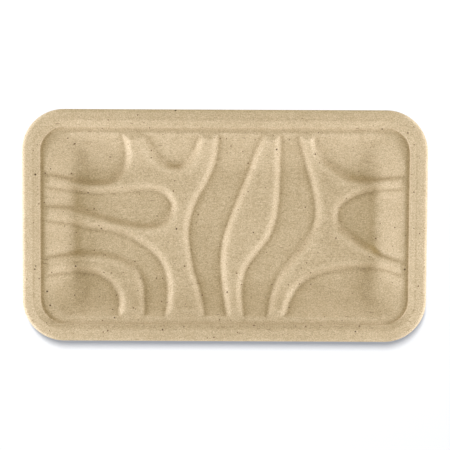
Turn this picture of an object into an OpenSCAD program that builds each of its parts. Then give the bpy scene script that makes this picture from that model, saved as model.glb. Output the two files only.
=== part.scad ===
// Shallow food tray of moulded fibre: one thin dished sheet with a flanged rim.
// Raised bands on the floor stiffen it; they leave ten lower pockets between them.
// Sizes in millimetres. The origin is under the middle of the tray, on the face it rests on.

/* [Overall size] */
// Length over the rim
tray_l = 210; // [190:1:250]
// Width over the rim
tray_w = 120; // [108:1:145]
// Height from the resting face to the top of the flange
tray_h = 14; // [12:0.5:18]
// Thickness of the fibre sheet
wall = 1; // [0.7:0.1:1.3]
// Radius of the outer corners
corner_r = 21.7; // [19:0.1:28]

/* [Rim] */
// Width of the turned-down edge of the flange
lip_w = 2.2; // [1.5:0.1:2.8]
// Height of the curve of the turned-down edge
lip_drop = 2; // [1.2:0.1:2.6]
// Height of the straight skirt below that curve
skirt_h = 0.6; // [0.3:0.1:1]
// Width of the flat flange with its turned-down edge
flange_w = 5.9; // [5.5:0.1:7.5]
// Width of the bevel inside the flange
bevel_w = 3; // [2.5:0.1:4.5]
// Drop of the bevel over its width
bevel_drop = 1.6; // [1.2:0.1:2]
// Level width of the rounded crease where the bevel starts
crease_w = 0.7; // [0.4:0.1:1]
// Drop of that crease
crease_drop = 0.4; // [0.2:0.05:0.6]
// Level width of the short step below the bevel
step_w = 0.3; // [0.2:0.1:0.8]
// Drop of the short step below the bevel
step_drop = 1.3; // [0.9:0.1:1.8]

/* [Walls] */
// Width of the flat ledge along the sides
ledge_side = 3.1; // [1.5:0.1:4]
// Width of the flat ledge along the ends
ledge_end = 3; // [2:0.1:4.5]
// Level width of the side walls
side_run = 19; // [16:0.5:21]
// Level width of the end walls
end_run = 14.6; // [11:0.1:17]
// Curve of the side walls, 1 is straight
side_curve = 1.6; // [1.3:0.05:2]
// Part of the end walls' width over which they curve up from the floor
end_foot = 0.4; // [0.25:0.05:0.6]
// Corner radius of the dish at the ledge
dish_r = 16; // [13:0.5:20]
// Corner radius of the flat floor
floor_r = 12; // [8:0.5:15]

/* [Bands] */
// Height of the bands above the pockets
band_h = 2.8; // [2:0.1:3.4]
// Width of the sloping side of a band
band_side = 4.8; // [3.5:0.1:5.5]
// How much longer the band level reaches at the top of the end walls
band_end = 1.4; // [0.8:0.1:2]

/* [Hidden] */
half_l = tray_l / 2;
half_w = tray_w / 2;
ledge_z = tray_h - bevel_drop - step_drop;
floor_z = wall;
depth = ledge_z - floor_z;
rim_w = flange_w + bevel_w + step_w;
dish_l = half_l - rim_w - ledge_end;
dish_w = half_w - rim_w - ledge_side;
floor_l = dish_l - end_run;
floor_w = dish_w - side_run;
// Parts of the wall height at which the dish has a ring
steps = [0, 0.03, 0.1, 0.22, 0.4, 0.6, 0.8, 1];
// Straight pieces in the curve of the turned-down edge
lip_steps = 5;
// Thickness of the level slabs that the solids are stretched over
slab_t = 0.01;
// How far cutters reach past the faces they cut
past = 1;
// Undyed fibre
fibre_color = [0.78, 0.7, 0.56];

// Outlines of the pocket floors, in hundredths of half the length and half the width.
// Points past the walls only close the outline.
upper_left = [
    [-98, 48.5], [-87, 46.5], [-81, 45], [-74.5, 42.5], [-67, 40], [-61, 40.5], [-56, 43],
    [-53, 48], [-51, 53.5], [-50, 60.5], [-50, 68.5], [-51, 76], [-53.5, 93], [-98, 93]
];
top_middle = [
    [-41.5, 91], [-38.5, 76], [-35, 66.5], [-31.5, 60], [-28, 55.5], [-24.5, 54.5],
    [-21.5, 55.5], [-18, 60.5], [-15.5, 66.5], [-14, 73.5], [-12, 91]
];
left_tongue = [
    [-98, 19], [-87, 19], [-77, 18], [-69.5, 14.5], [-62, 10.5], [-53, 6.5], [-44.5, 3.5],
    [-37.5, 2.5], [-32, 5], [-28.5, 10], [-27, 16.5], [-28, 22], [-31, 27.5], [-36, 30],
    [-42, 30.5], [-52, 29], [-64.5, 27.5], [-77, 30], [-87, 32.5], [-98, 33.5]
];
left_crescent = [
    [-98, -26.5], [-86.5, -24.5], [-75.5, -22], [-67, -22], [-58.5, -23], [-51, -27],
    [-45.5, -33.5], [-42.5, -42.5], [-40.5, -53], [-40, -64], [-39.5, -75], [-41, -93],
    [-31, -93], [-29.5, -75], [-29, -64], [-29, -52.5], [-30, -41.5], [-32.5, -32],
    [-36.5, -23.5], [-42.5, -16.5], [-49.5, -9.5], [-59.5, -5], [-69.5, -3], [-78, 1],
    [-86.5, 3.5], [-98, 4.5]
];
lower_left = [
    [-98, -93], [-54.5, -93], [-53, -73.5], [-53, -65], [-54.5, -58], [-56.5, -52.5],
    [-59.5, -48], [-63, -44.5], [-69, -42.5], [-77.5, -41.5], [-86.5, -43.5], [-98, -47]
];
left_channel = [
    [-2.5, 93], [-3, 74], [-4.5, 56.5], [-8.5, 39], [-14, 22], [-17, 7], [-18, -8], [-17, -23.5],
    [-15.5, -38.5], [-12.5, -55], [-10, -73], [-8.5, -93], [2, -93], [0.5, -74], [-1, -58.5],
    [-2, -41], [-2, -23.5], [0, -5], [4, 15], [7.5, 30.5], [11.5, 48], [15, 65.5], [20, 93]
];
right_channel = [
    [27.5, 93], [28, 70], [28, 48], [27.5, 26.5], [26, 6.5], [22.5, -10.5], [16, -25.5],
    [11, -38.5], [9, -55], [9.5, -73], [11, -93], [19, -93], [21.5, -74], [23.5, -58],
    [27, -43.5], [33, -28.5], [39, -15], [44, -1], [45.5, 14.5], [44, 32], [41, 50], [37, 71.5],
    [34, 93]
];
upper_right = [
    [42.5, 93], [44.5, 77], [46.5, 67], [50, 60], [54.5, 55], [59, 49], [63.5, 44.5],
    [69.5, 43.5], [77.5, 44.5], [87.5, 45.5], [98, 48.5], [98, 93]
];
right_end = [
    [98, 33.5], [86.5, 32.5], [77.5, 31.5], [68.5, 28], [62.5, 23], [58.5, 17.5], [57, 10],
    [58, 2.5], [62, -3.5], [67, -10], [73, -16], [80, -23], [88, -27.5], [98, -30]
];
lower_right = [
    [98, -44], [87.5, -41.5], [79.5, -38], [70.5, -37], [61.5, -38], [53, -40.5], [46, -44],
    [40.5, -49], [36.5, -56], [33.5, -64], [31.5, -74], [30, -93], [98, -93]
];
pockets = [
    upper_left, top_middle, left_tongue, left_crescent, lower_left,
    left_channel, right_channel, upper_right, right_end, lower_right
];

// Side of a band from the pocket floor up, as parts of its width and height
side_shape = [[-0.1, -0.09], [0.2, 0.23], [0.45, 0.62], [0.72, 0.91], [1.2, 1.06]];

// Bevel and step of the rim, as distance from the outer edge and drop below the flange
rim_shape = [
    [flange_w, 0], [flange_w + crease_w, crease_drop], [flange_w + bevel_w, bevel_drop],
    [rim_w, bevel_drop + step_drop]
];

// Tangent of half the angle of a slope
function half_slope(s) = tan(atan(s) / 2);

// Closed smooth curve through points, with n points for each one given
function smooth(p, n) = [
    for (i = [0 : len(p) - 1], j = [0 : n - 1])
        let (
            m = len(p),
            a = p[(i + m - 1) % m],
            b = p[i],
            c = p[(i + 1) % m],
            d = p[(i + 2) % m],
            t = j / n
        )
        b + (c - a) * t / 2 + (2 * a - 5 * b + 4 * c - d) * t * t / 2
            + (3 * b - a - 3 * c + d) * t * t * t / 2
];

// Part of the end wall's height that it has reached at part s of its width
function end_rise(s) = (s < end_foot ? s * s / (2 * end_foot) : s - end_foot / 2) / (1 - end_foot / 2);

// Part of the end wall's width at which it has reached part t of its height
function end_reach(t) =
    let (h = t * (1 - end_foot / 2))
    h < end_foot / 2 ? sqrt(2 * end_foot * h) : h + end_foot / 2;

// Height of the pocket level over a point of the dish
function dish_z(x, y) = min(tray_h, floor_z + depth * max(
    end_rise(max(0, abs(x) - floor_l) / end_run),
    pow(max(0, abs(y) - floor_w) / side_run, side_curve)
));

// Unit vector that points away from the inside of an outline at point i
function outward(p, i) =
    let (m = len(p), d = p[(i + 1) % m] - p[(i + m - 1) % m])
    [d[1], -d[0]] / norm(d);

// Slope of the side wall at part t of its height
function side_slope(t) = depth * side_curve / side_run * pow(t, 1 - 1 / side_curve);

// Slope of the end wall at part t of its height
function end_slope(t) = depth / end_run * min(1, end_reach(t) / end_foot) / (1 - end_foot / 2);

// Thin level slab with rounded corners: half length, half width, corner radius, height
module slab(a, b, r, z) {
    translate([0, 0, z])
        linear_extrude(slab_t)
            offset(r = r, $fn = 32)
                square([2 * (a - r), 2 * (b - r)], center = true);
}

// Solid through a stack of slabs
module stack(s) {
    for (i = [0 : len(s) - 2])
        hull() {
            slab(s[i][0], s[i][1], s[i][2], s[i][3]);
            slab(s[i + 1][0], s[i + 1][1], s[i + 1][2], s[i + 1][3]);
        }
}

// Slab sizes for a ring at distance d inside the outer edge, at height z
function rim_slab(d, z) = [half_l - d, half_w - d, corner_r - d, z];

// Solid under the flange and its turned-down edge, g inside the upper face
module cap(g) {
    hull() {
        for (k = [0 : lip_steps])
            let (
                d = lip_w * (1 - cos(90 * k / lip_steps)),
                z = lip_drop * (1 - sin(90 * k / lip_steps)),
                s = rim_slab(d + g, tray_h - slab_t - z - g)
            )
            slab(s[0], s[1], s[2], s[3]);
        let (s = rim_slab(g, tray_h - lip_drop - skirt_h - 2 * g))
        slab(s[0], s[1], s[2], s[3]);
    }
}

// Dish from the floor to the ledge, lifted by up and grown by g
module dish(up, g) {
    top = (depth - up) / depth;
    rings = [
        for (k = steps)
            let (
                t = k * top,
                a = floor_l + end_run * end_reach(t) + (up > 0 ? band_end * k : 0),
                b = floor_w + side_run * pow(t, 1 / side_curve),
                ga = g * half_slope(end_slope(t)),
                gb = g * half_slope(side_slope(t))
            )
            [a + ga, b + gb, floor_r + (dish_r - floor_r) * k + min(ga, gb), floor_z + up + depth * t - g]
    ];
    last = rings[len(rings) - 1];
    stack(concat(rings, [[last[0], last[1], last[2], ledge_z - g + past]]));
}

// Hollow inside the flange down to the ledge, grown by g
module rim_hollow(g) {
    n = len(rim_shape);
    turn = [
        for (i = [0 : n])
            i == 0 || i == n ? 0 : atan((rim_shape[i][1] - rim_shape[i - 1][1])
                / (rim_shape[i][0] - rim_shape[i - 1][0]))
    ];
    rings = [
        for (i = [0 : n - 1])
            let (
                m = (turn[i] + turn[i + 1]) / 2,
                d = (turn[i] - turn[i + 1]) / 2,
                q = g / cos(d)
            )
            rim_slab(rim_shape[i][0] - q * sin(m), tray_h - rim_shape[i][1] - q * cos(m))
    ];
    brim = rim_slab(half_l - rings[0][0], g > 0 ? tray_h - g / 2 : tray_h + past);
    stack(concat([for (i = [n - 1 : -1 : 0]) rings[i]], [brim]));
}

// Cutter that shapes the sides of one pocket; the dish shapes its floor
module pocket(outline, g) {
    p = smooth([for (q = outline) [q[0] * half_l / 100, q[1] * half_w / 100]], 2);
    m = len(p);
    shape = g > 0 ? [side_shape[0], side_shape[2], side_shape[4]] : side_shape;
    n = len(shape);
    grow = g * half_slope(band_h / band_side);
    rings = [
        for (k = [0 : n - 1])
            [
                for (i = [0 : m - 1])
                    let (q = p[i] + outward(p, i) * (shape[k][0] * band_side + grow))
                    [q[0], q[1], dish_z(q[0], q[1]) + shape[k][1] * band_h - g]
            ]
    ];
    all = concat(
        [for (q = rings[0]) [q[0], q[1], -tray_h]],
        [for (r = rings, q = r) q],
        [for (q = rings[n - 1]) [q[0], q[1], 3 * tray_h]]
    );
    sides = [
        for (k = [0 : n], i = [0 : m - 1], half = [0, 1])
            let (a = k * m + i, b = k * m + (i + 1) % m)
            half == 0 ? [a, a + m, b + m] : [a, b + m, b]
    ];
    bottom = [for (i = [0 : m - 1]) i];
    top = [for (i = [m - 1 : -1 : 0]) (n + 1) * m + i];
    polyhedron(points = all, faces = concat(sides, [bottom], [top]), convexity = 8);
}

// Everything above the sheet, grown by g
module hollow(g) {
    rim_hollow(g);
    dish(band_h, g);
    intersection() {
        dish(0, g);
        for (outline = pockets)
            pocket(outline, g);
    }
}

// The tray: flange and dish as one sheet
module tray() {
    color(fibre_color)
        difference() {
            union() {
                difference() {
                    cap(0);
                    cap(wall);
                }
                hollow(wall);
            }
            hollow(0);
        }
}

tray();
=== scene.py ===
import math

import bpy
import numpy as np
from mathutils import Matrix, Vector


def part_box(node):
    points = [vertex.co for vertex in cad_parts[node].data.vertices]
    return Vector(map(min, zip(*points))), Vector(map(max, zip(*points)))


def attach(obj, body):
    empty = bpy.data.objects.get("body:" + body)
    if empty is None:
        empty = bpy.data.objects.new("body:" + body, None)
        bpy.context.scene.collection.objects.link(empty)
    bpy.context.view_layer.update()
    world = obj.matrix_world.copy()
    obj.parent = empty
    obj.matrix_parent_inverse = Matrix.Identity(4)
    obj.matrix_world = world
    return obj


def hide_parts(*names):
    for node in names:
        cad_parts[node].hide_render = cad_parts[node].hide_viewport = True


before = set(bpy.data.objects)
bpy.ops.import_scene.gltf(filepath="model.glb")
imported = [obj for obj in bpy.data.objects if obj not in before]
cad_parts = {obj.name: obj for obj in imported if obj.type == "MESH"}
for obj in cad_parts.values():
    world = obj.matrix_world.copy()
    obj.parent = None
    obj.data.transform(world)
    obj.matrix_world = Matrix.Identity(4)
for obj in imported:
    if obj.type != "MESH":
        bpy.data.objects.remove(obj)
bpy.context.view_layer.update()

MM = 0.001
TINY = 1e-12

# Sizes of the tray in millimetres. Length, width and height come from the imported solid.
low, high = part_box("tray")
HALF_L = (high[0] - low[0]) / 2 / MM
HALF_W = (high[1] - low[1]) / 2 / MM
TOP = high[2] / MM
WALL = 1.0
CORNER_R = 21.7
LIP_W = 2.2
LIP_DROP = 2.0
LIP_EDGE = 2.6
FLANGE_W = 5.9
BEVEL_W = 3.0
BEVEL_DROP = 1.6
STEP_W = 0.3
STEP_DROP = 1.3
RIM_W = FLANGE_W + BEVEL_W + STEP_W
LEDGE_Z = TOP - BEVEL_DROP - STEP_DROP
LEDGE_SIDE = 3.1
LEDGE_END = 3.0
LEDGE_BLEND = 0.3
SIDE_RUN = 19.0
END_RUN = 14.6
SIDE_CURVE = 1.6
END_FOOT = 0.4
DISH_R = 16.0
FLOOR_R = 12.0
BAND_H = 2.8
BAND_SIDE = 4.8
BAND_END = 1.4
FLOOR_Z = WALL
DEPTH = LEDGE_Z - FLOOR_Z
FLOOR_L = HALF_L - RIM_W - LEDGE_END - END_RUN
FLOOR_W = HALF_W - RIM_W - LEDGE_SIDE - SIDE_RUN

# Rows of points across the rim, from the lip inwards. Flange rows: distance from the outer edge.
# Crease rows: distance past the flange, drop. Step rows: distance past the bevel, part of the
# step's height. Ledge rows: distance past the step, rise above the ledge.
LIP_ROWS = 10
FLANGE_ROWS = (2.8, 3.6, 4.4, 5.1, 5.5)
CREASE_ROWS = ((-0.1, 0.02), (0.15, 0.1), (0.45, 0.29))
CREASE_W = 0.7
CREASE_DROP = 0.4
BEVEL_ROWS = 7
STEP_ROWS = ((0.08, 0.86), (0.22, 0.14))
LEDGE_ROWS = ((0.0, 0.03), (0.25, 0.0))

# Mesh of the upper face and, coarser, of the underside: points along the long side, the short side
# and a corner of each ring, rings inside the rim, and which of the rim's rows are kept
FINE = (216, 108, 28)
FINE_RINGS = 72
FINE_EVERY = 1
COARSE = (108, 54, 14)
COARSE_RINGS = 36
COARSE_EVERY = 2
# Width of the slit inside the last ring against that of the first
SLIT = 0.002
# Points on an outline for each one given, and the largest distance from a pocket that counts
OUTLINE_STEPS = 8
POCKET_REACH = 8.0
# Search for a height on the walls: largest part of the wall height, number of halvings
DISH_LIMIT = 1.6
DISH_HALVINGS = 26
# Distance between the points that give a slope
SLOPE_STEP = 0.2

# Camera: height in metres, tilt and roll in degrees, length of the rim and shift in pixels
CAMERA_H = 0.6
CAMERA_TILT = 3.0
CAMERA_ROLL = 0.25
CAMERA_SHIFT = (0.3, 1.0)
RIM_PIXELS = 406.0
FRAME_PIXELS = 450
SENSOR_W = 36.0

# Lamps that light the tray: name, azimuth, height angle, distance in metres, size in metres, watts
LAMPS = [
    ("left_low", 180, 10, 0.45, (0.24, 0.04), 1.18),
    ("left_middle", 180, 18, 0.45, (0.24, 0.04), 0.84),
    ("left_high", 180, 25, 0.45, (0.24, 0.04), 0.38),
    ("right_low", 0, 10, 0.45, (0.24, 0.04), 0.9),
    ("right_middle", 0, 18, 0.45, (0.24, 0.04), 0.74),
    ("right_high", 0, 25, 0.45, (0.24, 0.04), 0.35),
    ("right_top", 0, 42, 0.45, (0.24, 0.06), 0.17),
    ("front_low", 270, 15, 0.5, (0.24, 0.08), 0.37),
    ("front_high", 270, 30, 0.5, (0.24, 0.08), 0.26),
    ("front_left", 225, 25, 0.5, (0.24, 0.1), 0.28),
    ("front_right", 315, 25, 0.5, (0.24, 0.1), 0.16),
    ("back_low", 90, 10, 0.5, (0.24, 0.04), 0.1),
]
LAMP_TINT = (0.93, 1.0, 1.33)
# Lamp that lights the floor, in the same order
FLOOR_LAMP = ("floor_lamp", 102, 74, 1.2, (0.1, 0.34), 21.5)
WORLD = 0.37
WORLD_TINT = (1.14, 0.985, 0.52, 1)
WHITE = (1, 1, 1, 1)

# Floor: half its side and its height in metres, colour, tint of its glow to the camera, and the
# glow by distance in metres: from, to, strength there
STAGE_HALF = 1.5
STAGE_Z = -0.0002
STAGE_GREY = (0.45, 0.45, 0.45, 1)
GLOW_TINT = (0.86, 0.98, 1.3, 1)
GLOW_RANGE = (0.2, 1.0, 0.27, 0.9)

# Fibre: plain colour, and the power of the tone in its red, green and blue
FIBRE = (0.56, 0.445, 0.265)
TONE_POWERS = (1.0, 1.12, 1.4)
FIBRE_ROUGHNESS = 0.92
FIBRE_SPECULAR = 0.12
# Noises: cells per metre, detail, roughness. Their tones: range of the noise, tone at its ends.
# Felt: cells per metre along each axis, turn in degrees and shift of each layer, shift by axis.
CLOUD_NOISE = (95.0, 4.0, 0.65)
CLOUD_TONE = (0.3, 0.7, -0.035, 0.035)
GRAIN_NOISE = (1700.0, 3.0, 0.8)
GRAIN_TONE = (0.28, 0.72, -0.27, 0.27)
FELT_NOISE = (1.0, 1.0, 0.5)
FELT_TONE = (0.45, 0.75, -0.06, 0.07)
FELT_CELLS = (380.0, 1900.0, 1200.0)
FELT_TURNS = ((12, 0.0), (71, 0.3), (128, 0.6))
TURN_SHIFT = (1.0, 0.7, 0.3)
WARM_NOISE = (240.0, 3.0, 0.6)
WARM_SHARE = (0.4, 0.75, 0.0, 0.35)
WARM_STRENGTH = 0.35
WARM = (0.52, 0.38, 0.2, 1)
# Specks: cells per metre, share of the cells that hold one, size in cells, strength, colour
SPECKS = [
    (700.0, 0.22, 0.19, 0.42, (0.24, 0.16, 0.08, 1)),
    (330.0, 0.36, 0.11, 0.92, (0.17, 0.1, 0.045, 1)),
    (150.0, 0.4, 0.065, 0.94, (0.09, 0.05, 0.022, 1)),
]
# Hairs, three dark and one pale: turn in degrees, shift, cells per metre along each axis, share of
# the cells, size in cells, strength, colour
DARK_HAIR = ((150.0, 700.0, 400.0), 0.05, 0.14, 0.55, (0.2, 0.125, 0.06, 1))
PALE_HAIR = ((260.0, 1300.0, 900.0), 0.12, 0.14, 0.25, (0.7, 0.6, 0.42, 1))
HAIRS = [
    (33, 0.2, *DARK_HAIR),
    (104, 0.5, *DARK_HAIR),
    (160, 0.8, *DARK_HAIR),
    (57, 0.9, *PALE_HAIR),
]
# Edge of a speck in parts of its size, and the least size against the spread of sizes
SPECK_EDGE = (0.7, 1.1)
SPECK_LEAST = 0.5
ROUGH_NOISE = (900.0, 4.0, 0.7)
FELT_BUMP = 0.6
BUMP_STRENGTH = 0.5
BUMP_DEPTH = 0.00012

# Painted shade and highlight by distance from a pocket floor, negative inside it, in millimetres:
# dark at the foot of a band, paler on its side
BAND_PAINTED_SHADE = [
    (-8, 0.967), (-5, 0.986), (-3.5, 1.003), (-2.2, 0.995), (-1.4, 0.965), (-0.8, 0.885),
    (-0.3, 0.835), (0.2, 0.865), (0.8, 0.96), (1.4, 1.01), (2.2, 1.05), (3, 1.06), (3.8, 1.025),
    (4.6, 0.985), (5.4, 0.958), (6.5, 0.947), (8, 0.935),
]
# On the sides that face the back, away from the front lamps, that painted shade lies further out
# and its dark part is weaker. Range: how far a side has to face the back for it.
FAR_SHIFT = 2.0
FAR_EASE = 0.45
FAR_RANGE = (0.3, 0.8)
FAR_STEP = 0.5
# On the end walls, from here to there beyond their foot, the painted shade is stronger and the
# painted highlight weaker. Near the rim, from here to there inside it, all of it sets in.
WALL_RANGE = (1, 5)
WALL_DARK = 0.5
WALL_PALE = -0.9
RIM_RANGE = (1, 4)
# Painted light and shade by distance from the outer edge, at the ends, the back and the front
END_PAINTED_SHADE = [
    (0, 1.0), (5.2, 1.0), (5.9, 0.98), (6.5, 1.13), (8.4, 1.12), (8.9, 1.03), (9.4, 0.9),
    (9.9, 0.82), (10.4, 0.86), (11, 0.98), (11.6, 1.02), (13, 1.0),
]
BACK_PAINTED_SHADE = [
    (0, 1.25), (1.1, 1.22), (1.7, 1.04), (2.5, 1.0), (5.2, 0.98), (6.5, 0.97), (8.6, 0.98),
    (9.2, 1.03), (9.7, 1.0), (10.2, 0.93), (10.6, 0.9), (11.6, 0.9), (12.3, 0.97), (13, 1.0),
]
FRONT_PAINTED_SHADE = [
    (0, 1.1), (0.8, 1.08), (1.5, 0.98), (2.3, 0.95), (5.4, 0.96), (6.5, 0.92), (7.5, 0.85),
    (8, 0.85), (8.5, 0.88), (9, 0.94), (10, 0.96), (13, 0.97), (22, 0.97), (26, 1.0),
]
# Painted shade along the foot of an end wall and painted light above it, by distance beyond that
# foot, share of the painted shade and of the painted light by distance from the tray's middle line,
# and how much of the painted light the bands take away
WALL_FOOT_PAINTED_SHADE = [
    (-9, 1.0), (-7, 0.97), (-5.5, 0.92), (-3, 0.89), (-1.5, 0.9), (0, 0.93), (1.5, 0.99),
    (2.8, 1.05), (4, 1.06), (11.5, 1.065), (13.5, 1.02), (15, 1.0),
]
FOOT_SHARE = [(10, -0.2), (24, 1), (38, 1), (46, 0)]
WALL_SHARE = [(36, 1), (44, 0)]
WALL_BANDS = 0.8
# Painted highlight and shade where a band runs into the ledge, by the height of the wall above the
# ledge, and the share of it that the pockets keep
LEDGE_PAINTED_SHADE = [
    (-1.6, 1.0), (-0.8, 1.03), (-0.3, 1.09), (0.05, 1.03), (0.5, 0.95), (2, 0.94), (3.5, 0.98),
    (4.5, 1.0),
]
LEDGE_LEAST = 0.2
# Painted light that lifts the shade where the right-hand pocket's front edge meets the end wall:
# x, y, reach, gain
SPOT_PAINTED_LIGHT = (78.6, -11.9, 2.4, 0.36)

# Outlines of the pocket floors, in hundredths of half the length and half the width
POCKETS = [
    [(-98, 48.5), (-87, 46.5), (-81, 45), (-74.5, 42.5), (-67, 40), (-61, 40.5), (-56, 43),
     (-53, 48), (-51, 53.5), (-50, 60.5), (-50, 68.5), (-51, 76), (-53.5, 93), (-98, 93)],
    [(-41.5, 91), (-38.5, 76), (-35, 66.5), (-31.5, 60), (-28, 55.5), (-24.5, 54.5), (-21.5, 55.5),
     (-18, 60.5), (-15.5, 66.5), (-14, 73.5), (-12, 91)],
    [(-98, 19), (-87, 19), (-77, 18), (-69.5, 14.5), (-62, 10.5), (-53, 6.5), (-44.5, 3.5),
     (-37.5, 2.5), (-32, 5), (-28.5, 10), (-27, 16.5), (-28, 22), (-31, 27.5), (-36, 30),
     (-42, 30.5), (-52, 29), (-64.5, 27.5), (-77, 30), (-87, 32.5), (-98, 33.5)],
    [(-98, -26.5), (-86.5, -24.5), (-75.5, -22), (-67, -22), (-58.5, -23), (-51, -27),
     (-45.5, -33.5), (-42.5, -42.5), (-40.5, -53), (-40, -64), (-39.5, -75), (-41, -93),
     (-31, -93), (-29.5, -75), (-29, -64), (-29, -52.5), (-30, -41.5), (-32.5, -32),
     (-36.5, -23.5), (-42.5, -16.5), (-49.5, -9.5), (-59.5, -5), (-69.5, -3), (-78, 1),
     (-86.5, 3.5), (-98, 4.5)],
    [(-98, -93), (-54.5, -93), (-53, -73.5), (-53, -65), (-54.5, -58), (-56.5, -52.5),
     (-59.5, -48), (-63, -44.5), (-69, -42.5), (-77.5, -41.5), (-86.5, -43.5), (-98, -47)],
    [(-2.5, 93), (-3, 74), (-4.5, 56.5), (-8.5, 39), (-14, 22), (-17, 7), (-18, -8),
     (-17, -23.5), (-15.5, -38.5), (-12.5, -55), (-10, -73), (-8.5, -93), (2, -93), (0.5, -74),
     (-1, -58.5), (-2, -41), (-2, -23.5), (0, -5), (4, 15), (7.5, 30.5), (11.5, 48),
     (15, 65.5), (20, 93)],
    [(27.5, 93), (28, 70), (28, 48), (27.5, 26.5), (26, 6.5), (22.5, -10.5), (16, -25.5),
     (11, -38.5), (9, -55), (9.5, -73), (11, -93), (19, -93), (21.5, -74), (23.5, -58),
     (27, -43.5), (33, -28.5), (39, -15), (44, -1), (45.5, 14.5), (44, 32), (41, 50), (37, 71.5),
     (34, 93)],
    [(42.5, 93), (44.5, 77), (46.5, 67), (50, 60), (54.5, 55), (59, 49), (63.5, 44.5),
     (69.5, 43.5), (77.5, 44.5), (87.5, 45.5), (98, 48.5), (98, 93)],
    [(98, 33.5), (86.5, 32.5), (77.5, 31.5), (68.5, 28), (62.5, 23), (58.5, 17.5), (57, 10),
     (58, 2.5), (62, -3.5), (67, -10), (73, -16), (80, -23), (88, -27.5), (98, -30)],
    [(98, -44), (87.5, -41.5), (79.5, -38), (70.5, -37), (61.5, -38), (53, -40.5),
     (46, -44), (40.5, -49), (36.5, -56), (33.5, -64), (31.5, -74), (30, -93), (98, -93)],
]

# Side of a band from the pocket floor up: its steepness at parts of its width, and from that the
# part of its height that it has reached
SIDE_STEEP = [(0, 0.7), (0.15, 1.5), (0.35, 1.7), (0.6, 1.05), (0.8, 0.42), (1, 0)]
SIDE_POINTS = 41
SIDE_U = np.linspace(0, 1, SIDE_POINTS)


def curve(value, points):
    """Height of a curve at each value, straight between its points."""
    return np.interp(value, *zip(*points))


def ramp(value, start, end):
    """0 up to start, 1 from end on, straight between them."""
    return np.clip((value - start) / (end - start), 0, 1)


def side_height():
    """Part of a band's height at each part of its width in SIDE_U."""
    steep = curve(SIDE_U, SIDE_STEEP)
    height = np.concatenate([[0], np.cumsum((steep[1:] + steep[:-1]) / 2)])
    return height / height[-1]


SIDE_S = side_height()


def smooth_outline(points):
    """Closed smooth curve through points, in millimetres."""
    p = np.array(points, float) * [HALF_L / 100, HALF_W / 100]
    a, b, c, d = (np.roll(p, s, axis=0) for s in (1, 0, -1, -2))
    out = []
    for t in np.arange(OUTLINE_STEPS) / OUTLINE_STEPS:
        out.append(
            b + (c - a) * t / 2
            + (2 * a - 5 * b + 4 * c - d) * t ** 2 / 2
            + (3 * b - a - 3 * c + d) * t ** 3 / 2
        )
    return np.stack(out, axis=1).reshape(-1, 2)


def signed_distance(x, y, outline):
    """Distance of each point from a closed outline, negative inside."""
    best = np.full(x.shape, np.inf)
    inside = np.zeros(x.shape, bool)
    for (ax, ay), (bx, by) in zip(outline, np.roll(outline, -1, axis=0)):
        ex, ey = bx - ax, by - ay
        t = np.clip(((x - ax) * ex + (y - ay) * ey) / (ex * ex + ey * ey + TINY), 0, 1)
        best = np.minimum(best, (x - ax - t * ex) ** 2 + (y - ay - t * ey) ** 2)
        crosses = (ay > y) != (by > y)
        inside ^= crosses & (x < ax + (y - ay) * ex / (ey if abs(ey) > TINY else TINY))
    best = np.sqrt(best)
    return np.where(inside, -best, best)


def rounded_box(x, y, a, b, r):
    """Distance from a rectangle with rounded corners, negative inside."""
    qx = np.abs(x) - a + r
    qy = np.abs(y) - b + r
    outside = np.hypot(np.maximum(qx, 0), np.maximum(qy, 0))
    return outside + np.minimum(np.maximum(qx, qy), 0) - r


def end_reach(t):
    """Part of the end wall's width at which it has reached part t of its height."""
    h = t * (1 - END_FOOT / 2)
    return np.where(h < END_FOOT / 2, np.sqrt(2 * END_FOOT * h), h + END_FOOT / 2)


def dish_part(x, y, stretch):
    """Part of the wall height that the dish has reached at each point."""
    lo = np.zeros(x.shape)
    hi = np.full(x.shape, DISH_LIMIT)
    for _ in range(DISH_HALVINGS):
        t = (lo + hi) / 2
        a = FLOOR_L + END_RUN * end_reach(t) + stretch * t
        b = FLOOR_W + SIDE_RUN * t ** (1 / SIDE_CURVE)
        r = FLOOR_R + (DISH_R - FLOOR_R) * np.minimum(t, 1)
        beyond = rounded_box(x, y, a, b, r) > 0
        lo = np.where(beyond, t, lo)
        hi = np.where(beyond, hi, t)
    return (lo + hi) / 2


def soft_min(a, b, k):
    """Lower of two heights with a rounded meeting line."""
    h = np.clip(0.5 + 0.5 * (b - a) / k, 0, 1)
    return b + (a - b) * h - k * h * (1 - h)


def pocket_distance(x, y):
    """Distance from the nearest pocket floor, negative inside it, up to POCKET_REACH."""
    best = np.full(x.shape, POCKET_REACH)
    for points in POCKETS:
        outline = smooth_outline(points)
        (x0, y0), (x1, y1) = outline.min(axis=0) - POCKET_REACH, outline.max(axis=0) + POCKET_REACH
        near = (x > x0) & (x < x1) & (y > y0) & (y < y1)
        best[near] = np.minimum(best[near], signed_distance(x[near], y[near], outline))
    return best


def wall_level(x, y):
    """Height of the floor, its bands and its walls, carried on above the ledge."""
    share = np.interp(pocket_distance(x, y) / BAND_SIDE, SIDE_U, SIDE_S)
    stretch = BAND_END * DEPTH / (DEPTH - BAND_H)
    pocket = FLOOR_Z + DEPTH * dish_part(x, y, 0.0)
    band = FLOOR_Z + BAND_H + DEPTH * dish_part(x, y, stretch)
    return pocket + (band - pocket) * share


def floor_height(x, y):
    """Upper face of the tray inside the rim."""
    return soft_min(wall_level(x, y), np.full(x.shape, LEDGE_Z), LEDGE_BLEND)


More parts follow.
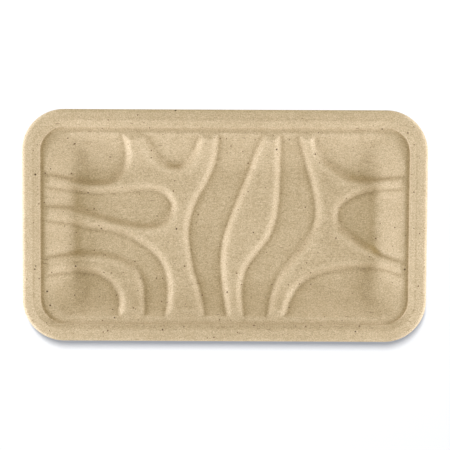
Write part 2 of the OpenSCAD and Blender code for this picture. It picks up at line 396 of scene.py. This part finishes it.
def rim_profile():
    """Upper face of the rim from its lower edge inwards: distance from the outer edge, height."""
    crease = FLANGE_W + CREASE_W
    edge = FLANGE_W + BEVEL_W
    rows = [(0.0, TOP - LIP_EDGE)]
    for a in np.linspace(0, math.pi / 2, LIP_ROWS):
        rows.append((LIP_W * (1 - math.cos(a)), TOP - LIP_DROP * (1 - math.sin(a))))
    rows += [(d, TOP) for d in FLANGE_ROWS]
    rows += [(FLANGE_W + d, TOP - drop) for d, drop in CREASE_ROWS]
    for s in np.linspace(0, 1, BEVEL_ROWS):
        drop = CREASE_DROP + s * (BEVEL_DROP - CREASE_DROP)
        rows.append((crease + s * (edge - crease), TOP - drop))
    rows += [(edge + d, LEDGE_Z + part * STEP_DROP) for d, part in STEP_ROWS]
    rows += [(RIM_W + d, LEDGE_Z + rise) for d, rise in LEDGE_ROWS]
    return rows


def band_painted_shade(x, y, pocket):
    """Painted shade at the foot of a band and painted highlight on its side, along the pocket
    edges.
    """
    to_back = pocket_distance(x, y - FAR_STEP) - pocket_distance(x, y + FAR_STEP)
    far_side = ramp(to_back / (2 * FAR_STEP), *FAR_RANGE)
    on_wall = ramp(np.abs(x) - FLOOR_L, *WALL_RANGE)
    tone = curve(pocket - FAR_SHIFT * far_side, BAND_PAINTED_SHADE)
    dark = (1 - FAR_EASE * far_side * (1 - on_wall)) * (1 + WALL_DARK * on_wall)
    return 1 + (tone - 1) * np.where(tone < 1, dark, 1 + WALL_PALE * on_wall)


def wall_painted_shade(x, y, pocket):
    """Painted shade along the foot of the end walls and painted light above it."""
    wall = curve(np.abs(x) - FLOOR_L, WALL_FOOT_PAINTED_SHADE) - 1
    at_foot = curve(np.abs(y), FOOT_SHARE)
    at_wall = curve(np.abs(y), WALL_SHARE) * (1 - WALL_BANDS * ramp(pocket, 0, BAND_SIDE))
    return 1 + wall * np.where(wall < 0, at_foot, at_wall)


def spot_painted_light(x, y):
    """Painted light of the one pale spot."""
    spot_x, spot_y, reach, gain = SPOT_PAINTED_LIGHT
    away = (x - spot_x) ** 2 + (y - spot_y) ** 2
    return 1 + gain * np.exp(-away / (2 * reach ** 2))


def ledge_painted_shade(x, y, pocket, depth):
    """Painted highlight and shade where the bands run into the ledge."""
    on_band = LEDGE_LEAST + (1 - LEDGE_LEAST) * ramp(pocket, 0, BAND_SIDE)
    ledge = curve(wall_level(x, y) - LEDGE_Z, LEDGE_PAINTED_SHADE) - 1
    return 1 + ledge * on_band * (depth > RIM_W)


def rim_painted_shade(x, y, depth):
    """Painted light and shade by distance from the outer edge, from the sides to the ends in the
    corners.
    """
    qx = np.maximum(np.abs(x) - HALF_L + CORNER_R, 0)
    qy = np.maximum(np.abs(y) - HALF_W + CORNER_R, 0)
    at_end = (qx ** 2 + TINY) / (qx ** 2 + qy ** 2 + 2 * TINY)
    at_side = np.where(y > 0, curve(depth, BACK_PAINTED_SHADE), curve(depth, FRONT_PAINTED_SHADE))
    return at_side + (curve(depth, END_PAINTED_SHADE) - at_side) * at_end


def painted_light_and_shade(x, y):
    """Painted light and shade against the fibre's plain colour, over the upper face."""
    pocket = pocket_distance(x, y)
    depth = -rounded_box(x, y, HALF_L, HALF_W, CORNER_R)
    tone = 1 + (band_painted_shade(x, y, pocket) - 1) * ramp(depth - RIM_W, *RIM_RANGE)
    tone = tone * wall_painted_shade(x, y, pocket) * spot_painted_light(x, y)
    return tone * ledge_painted_shade(x, y, pocket, depth) * rim_painted_shade(x, y, depth)


def ring(a, b, r, counts):
    """Points around a rectangle with rounded corners, anticlockwise from its right side."""
    nx, ny, nc = counts
    sx, sy = a - r, b - r
    out = []
    corners = [(sx, sy, 0), (-sx, sy, 90), (-sx, -sy, 180), (sx, -sy, 270)]
    for k, (cx, cy, start) in enumerate(corners):
        angles = np.radians(start + 90 * np.arange(nc) / nc)
        out.append(np.stack([cx + r * np.cos(angles), cy + r * np.sin(angles)], axis=1))
        ex, ey, _ = corners[(k + 1) % 4]
        n = nx if k % 2 == 0 else ny
        turn = math.radians(start + 90)
        first = np.array([cx + r * math.cos(turn), cy + r * math.sin(turn)])
        last = np.array([ex + r * math.cos(turn), ey + r * math.sin(turn)])
        t = (np.arange(n) / n)[:, None]
        out.append(first + (last - first) * t)
    return np.concatenate(out)


def upper_face(counts, inner_rings, every):
    """Grid of points over the upper face: rings from the lower edge of the lip to the middle."""
    rings = []
    profile = rim_profile()
    profile = profile[:1] + profile[:0:-every][::-1]
    for d, z in profile:
        xy = ring(HALF_L - d, HALF_W - d, CORNER_R - d, counts)
        rings.append(np.column_stack([xy, np.full(len(xy), z)]))
    d0 = profile[-1][0]
    a0, b0, r0 = HALF_L - d0, HALF_W - d0, CORNER_R - d0
    for s in np.linspace(0, 1, inner_rings + 1)[1:]:
        shrink = max(1 - s, SLIT)
        xy = ring(a0 - b0 * (1 - shrink), b0 * shrink, r0 * shrink, counts)
        rings.append(np.column_stack([xy, floor_height(xy[:, 0], xy[:, 1])]))
    return np.stack(rings)


def grid_normals(grid):
    """Upward normals of a grid of rings."""
    along = np.roll(grid, -1, axis=1) - np.roll(grid, 1, axis=1)
    across = np.gradient(grid, axis=0)
    n = np.cross(along, across)
    return n / (np.linalg.norm(n, axis=2, keepdims=True) + TINY)


def floor_normals(x, y):
    """Upward normals of the upper face inside the rim."""
    h = SLOPE_STEP
    slope_x = (floor_height(x + h, y) - floor_height(x - h, y)) / (2 * h)
    slope_y = (floor_height(x, y + h) - floor_height(x, y - h)) / (2 * h)
    n = np.stack([-slope_x, -slope_y, np.ones(x.shape)], axis=-1)
    return n / np.linalg.norm(n, axis=-1, keepdims=True)


def underside():
    """Grid of points over the underside, one wall thickness below a coarser upper face."""
    grid = upper_face(COARSE, COARSE_RINGS, COARSE_EVERY)
    inner = grid[-COARSE_RINGS:]
    normals = grid_normals(grid)
    normals[-COARSE_RINGS:] = floor_normals(inner[:, :, 0], inner[:, :, 1])
    grid = grid - WALL * normals
    grid[0, :, 2] = TOP - LIP_EDGE
    grid[:, :, 2] = np.maximum(grid[:, :, 2], 0.0)
    return grid


def grid_faces(rows, cols, start, flip):
    """Quads between the rings of a grid."""
    faces = []
    for i in range(rows - 1):
        for j in range(cols):
            k = (j + 1) % cols
            quad = [start + i * cols + j, start + i * cols + k,
                    start + (i + 1) * cols + k, start + (i + 1) * cols + j]
            faces.append(quad[::-1] if flip else quad)
    return faces


def middle_faces(cols, last, counts, flip):
    """Faces that close the narrow slit left inside the innermost ring."""
    nx, ny, nc = counts
    top = [nc + j for j in range(nx + 1)]
    bottom = [3 * nc + nx + ny + j for j in range(nx, -1, -1)]
    faces = []
    for j in range(nx):
        quad = [last + top[j], last + top[j + 1], last + bottom[j + 1], last + bottom[j]]
        faces.append(quad[::-1] if flip else quad)
    right = [last + k % cols for k in range(3 * nc + 2 * nx + ny, cols + nc + 1)]
    left = [last + k for k in range(nc + nx, 3 * nc + nx + ny + 1)]
    for end in (right, left):
        faces.append(end[::-1] if flip else end)
    return faces


def build_tray():
    """The tray as one closed sheet: upper face, underside and the edge that joins them."""
    upper = upper_face(FINE, FINE_RINGS, FINE_EVERY)
    under = underside()
    rows_u, cols_u = upper.shape[:2]
    rows_l, cols_l = under.shape[:2]
    shift = rows_u * cols_u
    points = np.concatenate([upper.reshape(-1, 3), under.reshape(-1, 3)]) * MM
    faces = grid_faces(rows_u, cols_u, 0, False)
    faces += middle_faces(cols_u, (rows_u - 1) * cols_u, FINE, False)
    faces += grid_faces(rows_l, cols_l, shift, True)
    faces += middle_faces(cols_l, shift + (rows_l - 1) * cols_l, COARSE, True)
    for j in range(cols_l):
        a, b = 2 * j, (2 * j + 2) % cols_u
        k = (j + 1) % cols_l
        faces.append([2 * j + 1, a, shift + j, shift + k, b])
    mesh = bpy.data.meshes.new("fibre_tray")
    mesh.from_pydata(points.tolist(), [], faces)
    mesh.validate()
    mesh.polygons.foreach_set("use_smooth", [True] * len(mesh.polygons))
    mesh.update()
    # Painted light and shade over the upper face, kept in the tone attribute; the underside stays
    # plain
    tone = np.ones(len(points))
    tone[:shift] = painted_light_and_shade(upper[:, :, 0].ravel(), upper[:, :, 1].ravel())
    mesh.attributes.new("tone", "FLOAT", "POINT").data.foreach_set("value", tone)
    piece = bpy.data.objects.new("fibre_tray", mesh)
    bpy.context.scene.collection.objects.link(piece)
    return piece


class Graph:
    """Short names for the shader nodes that the materials and the world use."""

    def __init__(self, owner):
        owner.use_nodes = True
        self.nodes = owner.node_tree.nodes
        self.links = owner.node_tree.links
        self.nodes.clear()
        self.place = None

    def new(self, kind):
        """A new shader node."""
        return self.nodes.new("ShaderNode" + kind)

    def put(self, socket, value):
        """Link a socket to another one, or set its value."""
        if isinstance(value, bpy.types.NodeSocket):
            self.links.new(value, socket)
        else:
            socket.default_value = value

    def coords(self):
        """Place on the object, in metres."""
        if self.place is None:
            self.place = self.new("TexCoord").outputs["Object"]
        return self.place

    def math(self, kind, *values):
        """Result of a calculation with two or three values."""
        node = self.new("Math")
        node.operation = kind
        for socket, value in zip(node.inputs, values):
            self.put(socket, value)
        return node.outputs[0]

    def spread(self, value, low, high, to_low, to_high):
        """A value carried smoothly from one range to another."""
        node = self.new("MapRange")
        node.interpolation_type = "SMOOTHSTEP"
        names = ("Value", "From Min", "From Max", "To Min", "To Max")
        for name, v in zip(names, (value, low, high, to_low, to_high)):
            self.put(node.inputs[name], v)
        return node.outputs[0]

    def turned(self, angle, cells, shift):
        """Place on the object, shifted, turned and counted in cells along each axis."""
        node = self.new("Mapping")
        self.put(node.inputs["Vector"], self.coords())
        self.put(node.inputs["Location"], tuple(shift * part for part in TURN_SHIFT))
        self.put(node.inputs["Rotation"], (0, 0, math.radians(angle)))
        self.put(node.inputs["Scale"], cells)
        return node.outputs[0]

    def noise(self, scale, detail, rough, vector=None):
        """Noise from 0 to 1."""
        node = self.new("TexNoise")
        self.put(node.inputs["Vector"], self.coords() if vector is None else vector)
        self.put(node.inputs["Scale"], scale)
        self.put(node.inputs["Detail"], detail)
        self.put(node.inputs["Roughness"], rough)
        return node.outputs["Fac"]

    def specks(self, scale, share, size, vector=None):
        """1 inside scattered specks, 0 elsewhere. The values are those of SPECKS."""
        node = self.new("TexVoronoi")
        self.put(node.inputs["Vector"], self.coords() if vector is None else vector)
        self.put(node.inputs["Scale"], scale)
        parts = self.new("SeparateColor")
        self.put(parts.inputs[0], node.outputs["Color"])
        picked = self.math("LESS_THAN", parts.outputs[0], share)
        reach = self.math("MULTIPLY_ADD", parts.outputs[1], size, size * SPECK_LEAST)
        edge = self.math("DIVIDE", node.outputs["Distance"], reach)
        inside = self.spread(edge, *SPECK_EDGE, 1.0, 0.0)
        return self.math("MULTIPLY", inside, picked)

    def seen(self):
        """1 for what the camera sees, straight or in a reflection, and 0 for light on its way."""
        path = self.new("LightPath")
        seen = self.math("MAXIMUM", path.outputs["Is Camera Ray"], path.outputs["Is Glossy Ray"])
        return self.math("MAXIMUM", seen, path.outputs["Is Transmission Ray"])

    def cover(self, color, strength, share, over):
        """A colour with another one laid over it, by a share and the strength of that."""
        node = self.new("Mix")
        node.data_type = "RGBA"
        self.put(node.inputs["Factor"], self.math("MULTIPLY", share, strength))
        self.put(node.inputs["A"], color)
        self.put(node.inputs["B"], over)
        return node.outputs["Result"]


def fibre_color(g, felt):
    """Colour of the fibre: warm beige, mottled, with dark specks and fine hairs, and the painted
    light and shade of the tone attribute.
    """
    tone = g.spread(g.noise(*CLOUD_NOISE), *CLOUD_TONE)
    tone = g.math("ADD", tone, g.spread(g.noise(*GRAIN_NOISE), *GRAIN_TONE))
    tone = g.math("ADD", tone, g.spread(felt, *FELT_TONE))
    # The tone attribute brings in the painted light and shade
    painted = g.new("Attribute")
    painted.attribute_name = "tone"
    tone = g.math("ADD", tone, painted.outputs["Fac"])
    base = g.new("CombineColor")
    for socket, part, power in zip(base.inputs, FIBRE, TONE_POWERS):
        g.put(socket, g.math("MULTIPLY", g.math("POWER", tone, power), part))
    color = base.outputs[0]
    warm = g.spread(g.noise(*WARM_NOISE), *WARM_SHARE)
    color = g.cover(color, WARM_STRENGTH, warm, WARM)
    for scale, share, size, strength, over in SPECKS:
        color = g.cover(color, strength, g.specks(scale, share, size), over)
    for angle, shift, cells, share, size, strength, over in HAIRS:
        hair = g.specks(1.0, share, size, g.turned(angle, cells, shift))
        color = g.cover(color, strength, hair, over)
    return color


def fibre_material():
    """Undyed moulded fibre, matt, with a fine felted surface."""
    material = bpy.data.materials.new("moulded_fibre")
    g = Graph(material)
    out = g.new("OutputMaterial")
    shader = g.new("BsdfPrincipled")
    g.put(shader.inputs["Roughness"], FIBRE_ROUGHNESS)
    g.put(shader.inputs["Specular IOR Level"], FIBRE_SPECULAR)
    strands = [g.noise(*FELT_NOISE, g.turned(a, FELT_CELLS, shift)) for a, shift in FELT_TURNS]
    felt = strands[0]
    for strand in strands[1:]:
        felt = g.math("MAXIMUM", felt, strand)
    g.put(shader.inputs["Base Color"], fibre_color(g, felt))
    bump = g.new("Bump")
    g.put(bump.inputs["Strength"], BUMP_STRENGTH)
    g.put(bump.inputs["Distance"], BUMP_DEPTH)
    height = g.math("ADD", g.noise(*ROUGH_NOISE), g.math("MULTIPLY", felt, FELT_BUMP))
    g.put(bump.inputs["Height"], height)
    g.put(shader.inputs["Normal"], bump.outputs[0])
    g.put(out.inputs[0], shader.outputs[0])
    return material


def floor_material():
    """Pale floor that looks white to the camera and keeps the shadow of the tray."""
    material = bpy.data.materials.new("pale_floor")
    g = Graph(material)
    out = g.new("OutputMaterial")
    diffuse = g.new("BsdfDiffuse")
    g.put(diffuse.inputs["Color"], STAGE_GREY)
    glow = g.new("Emission")
    g.put(glow.inputs["Color"], GLOW_TINT)
    far = g.new("VectorMath")
    far.operation = "LENGTH"
    g.put(far.inputs[0], g.coords())
    strength = g.spread(far.outputs["Value"], *GLOW_RANGE)
    g.put(glow.inputs["Strength"], g.math("MULTIPLY", g.seen(), strength))
    both = g.new("AddShader")
    g.put(both.inputs[0], diffuse.outputs[0])
    g.put(both.inputs[1], glow.outputs[0])
    g.put(out.inputs[0], both.outputs[0])
    return material


def add_floor():
    """Large flat floor just under the tray."""
    s = STAGE_HALF
    mesh = bpy.data.meshes.new("floor")
    mesh.from_pydata([(-s, -s, 0), (s, -s, 0), (s, s, 0), (-s, s, 0)], [], [(0, 1, 2, 3)])
    floor = bpy.data.objects.new("floor", mesh)
    floor.location.z = STAGE_Z
    bpy.context.scene.collection.objects.link(floor)
    floor.data.materials.append(floor_material())
    return floor


def lit_only(name, obj):
    """Collection that limits a lamp's light to one object."""
    group = bpy.data.collections.new(name)
    group.objects.link(obj)
    return group


def add_lamp(name, azimuth, height, distance, size, watts, group):
    """Area lamp that looks at the origin and lights only the objects of a collection."""
    a, e = math.radians(azimuth), math.radians(height)
    place = Vector((math.cos(e) * math.cos(a), math.cos(e) * math.sin(a), math.sin(e))) * distance
    lamp = bpy.data.lights.new(name, "AREA")
    lamp.shape = "RECTANGLE"
    lamp.size, lamp.size_y = size
    lamp.energy = watts
    obj = bpy.data.objects.new(name, lamp)
    bpy.context.scene.collection.objects.link(obj)
    obj.location = place
    obj.rotation_euler = (-place).to_track_quat("-Z", "Y").to_euler()
    obj.light_linking.receiver_collection = group
    return lamp


def add_lamps(tray, floor):
    """Lamps round the tray, low at both ends, and one high lamp for its shadow on the floor."""
    on_tray = lit_only("lit_tray", tray)
    for row in LAMPS:
        add_lamp(*row, on_tray).color = LAMP_TINT
    add_lamp(*FLOOR_LAMP, lit_only("lit_floor", floor))


def add_world():
    """Soft light all round that looks white to the camera."""
    world = bpy.data.worlds.new("studio")
    bpy.context.scene.world = world
    g = Graph(world)
    out = g.new("OutputWorld")
    light = g.new("Background")
    g.put(light.inputs["Color"], WORLD_TINT)
    g.put(light.inputs["Strength"], WORLD)
    white = g.new("Background")
    g.put(white.inputs["Color"], WHITE)
    both = g.new("MixShader")
    g.put(both.inputs[0], g.seen())
    g.put(both.inputs[1], light.outputs[0])
    g.put(both.inputs[2], white.outputs[0])
    g.put(out.inputs[0], both.outputs[0])


def add_camera():
    """Camera straight above the tray, turned a little so that the far edge looks longer."""
    cam = bpy.data.cameras.new("camera")
    cam.sensor_width = SENSOR_W
    tilt = math.radians(CAMERA_TILT)
    to_rim = (CAMERA_H - TOP * MM) * math.cos(tilt)
    cam.lens = RIM_PIXELS / FRAME_PIXELS * SENSOR_W * to_rim / (2 * HALF_L * MM)
    cam.shift_x = CAMERA_SHIFT[0] / FRAME_PIXELS
    cam.shift_y = cam.lens * math.tan(tilt) / SENSOR_W + CAMERA_SHIFT[1] / FRAME_PIXELS
    obj = bpy.data.objects.new("camera", cam)
    bpy.context.scene.collection.objects.link(obj)
    obj.location = (0, 0, CAMERA_H)
    obj.rotation_euler = (-tilt, 0, math.radians(CAMERA_ROLL))
    bpy.context.scene.camera = obj


tray = build_tray()
tray.data.materials.append(fibre_material())
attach(tray, "root")
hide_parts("tray")
floor = add_floor()
add_lamps(tray, floor)
add_world()
add_camera()
bpy.context.scene.view_settings.view_transform = "Standard"
